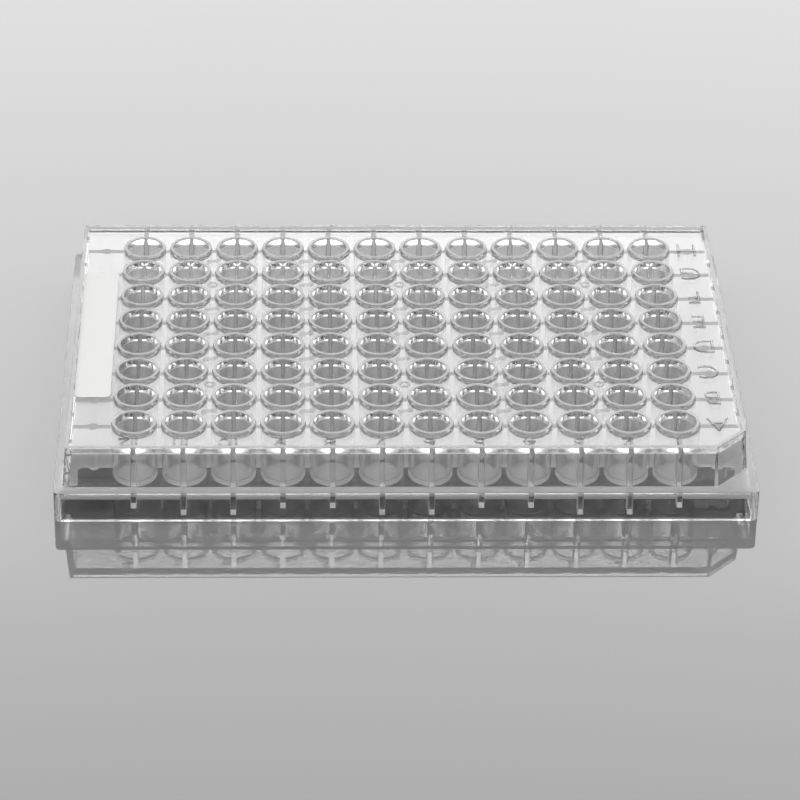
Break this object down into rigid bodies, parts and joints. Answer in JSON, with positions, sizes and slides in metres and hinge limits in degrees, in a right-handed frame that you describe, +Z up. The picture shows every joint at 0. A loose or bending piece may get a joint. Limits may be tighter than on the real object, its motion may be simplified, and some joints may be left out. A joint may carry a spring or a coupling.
{
  "type": "microplate",
  "caption": "Clear laboratory well plate: a grid of flat-bottomed wells with raised rims in a stiff skirted tray, one chamfered corner, blank side label",
  "frame": {"origin": "middle of the footprint, on the surface that the skirt stands on", "axes": "+X runs along the length to the numbered column 1 end, +Y runs across the width from row A to row H, +Z points up out of the wells"},
  "size_m": [0.1278, 0.0854, 0.0143],
  "materials": {
    "clear_polystyrene": "clear, polished moulding",
    "white_label": "matt white writing film"
  },
  "bodies": {
    "root": {"plate": "clear_polystyrene", "label": "white_label"}
  },
  "joints": []
}
